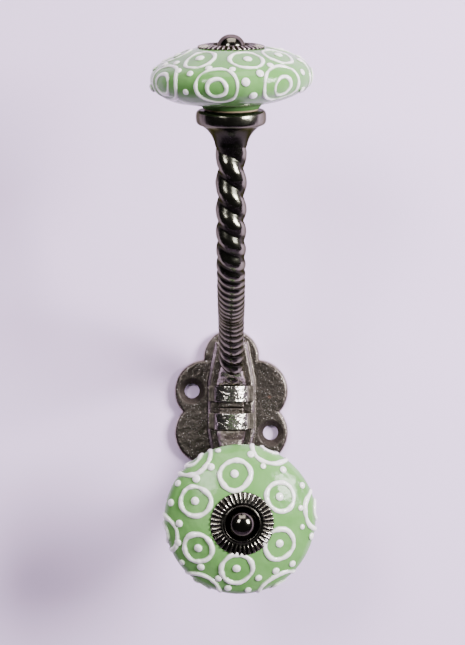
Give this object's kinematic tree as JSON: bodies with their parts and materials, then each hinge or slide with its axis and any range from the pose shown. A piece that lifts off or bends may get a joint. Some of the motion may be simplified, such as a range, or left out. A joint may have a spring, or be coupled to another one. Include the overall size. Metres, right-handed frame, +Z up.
{
  "type": "wall coat hook",
  "caption": "Double wall coat hook: a cast flower-shaped back plate with a tall twisted arm and a short lower arm, each ending in a round green ceramic knob with raised white rings and dots.",
  "frame": {"origin": "middle of the flower-shaped plate on its back face, where it meets the wall", "axes": "+Z up the wall, +X to the right seen from the room, +Y into the wall; the hook stands out along -Y"},
  "size_m": [0.0424, 0.0923, 0.143],
  "materials": {
    "rough_cast_plate": "rough sand casting under a dark brownish-grey plating, with bright rubbed edges",
    "black_nickel_cast": "glossy black-nickel plating over a cast twisted bar",
    "polished_collar": "black-nickel plating, filed and rubbed bright on the crown",
    "rivet_steel": "dull flush rivet ends",
    "washer_paper": "thin tan fibre washer",
    "green_glaze": "glossy sage-green glaze",
    "white_slip": "raised hand-piped off-white slip under a clear glaze",
    "black_nickel_pressing": "glossy black-nickel plated pressing",
    "black_nickel_bolt": "glossy black-nickel plated ball head"
  },
  "bodies": {
    "hook": {"back_plate": "rough_cast_plate", "upper_arm": "black_nickel_cast", "lower_arm": "black_nickel_cast", "upper_collar": "polished_collar", "lower_collar": "polished_collar", "arm_rivets": "rivet_steel"},
    "upper_washer": {"upper_seat_washer": "washer_paper"},
    "upper_knob_set": {"upper_knob": "green_glaze", "upper_rosette": "black_nickel_pressing", "upper_bolt": "black_nickel_bolt"},
    "lower_washer": {"lower_seat_washer": "washer_paper"},
    "lower_knob_set": {"lower_knob": "green_glaze", "lower_rosette": "black_nickel_pressing", "lower_bolt": "black_nickel_bolt"}
  },
  "joints": [
    {"name": "upper_knob_travel", "type": "slide", "parent": "hook", "child": "upper_washer", "axis": [0, -0.2588, 0.9659], "range_m": [0, 0.00666]},
    {"name": "upper_knob_turn", "type": "hinge", "parent": "upper_washer", "child": "upper_knob_set", "pos_m": [0, -0.07082, 0.07938], "axis": [0, -0.2588, 0.9659], "range_deg": [0, 3420]},
    {"name": "lower_knob_travel", "type": "slide", "parent": "hook", "child": "lower_washer", "axis": [0.061, -0.9972, -0.0436], "range_m": [0, 0.00666]},
    {"name": "lower_knob_turn", "type": "hinge", "parent": "lower_washer", "child": "lower_knob_set", "pos_m": [0.0019, -0.03967, -0.02531], "axis": [0.061, -0.9972, -0.0436], "range_deg": [0, 3420]}
  ],
  "couplings": [
    {"joint": "upper_knob_travel", "follows": "upper_knob_turn", "m_per_rad": 0.00011141},
    {"joint": "lower_knob_travel", "follows": "lower_knob_turn", "m_per_rad": 0.00011141}
  ]
}
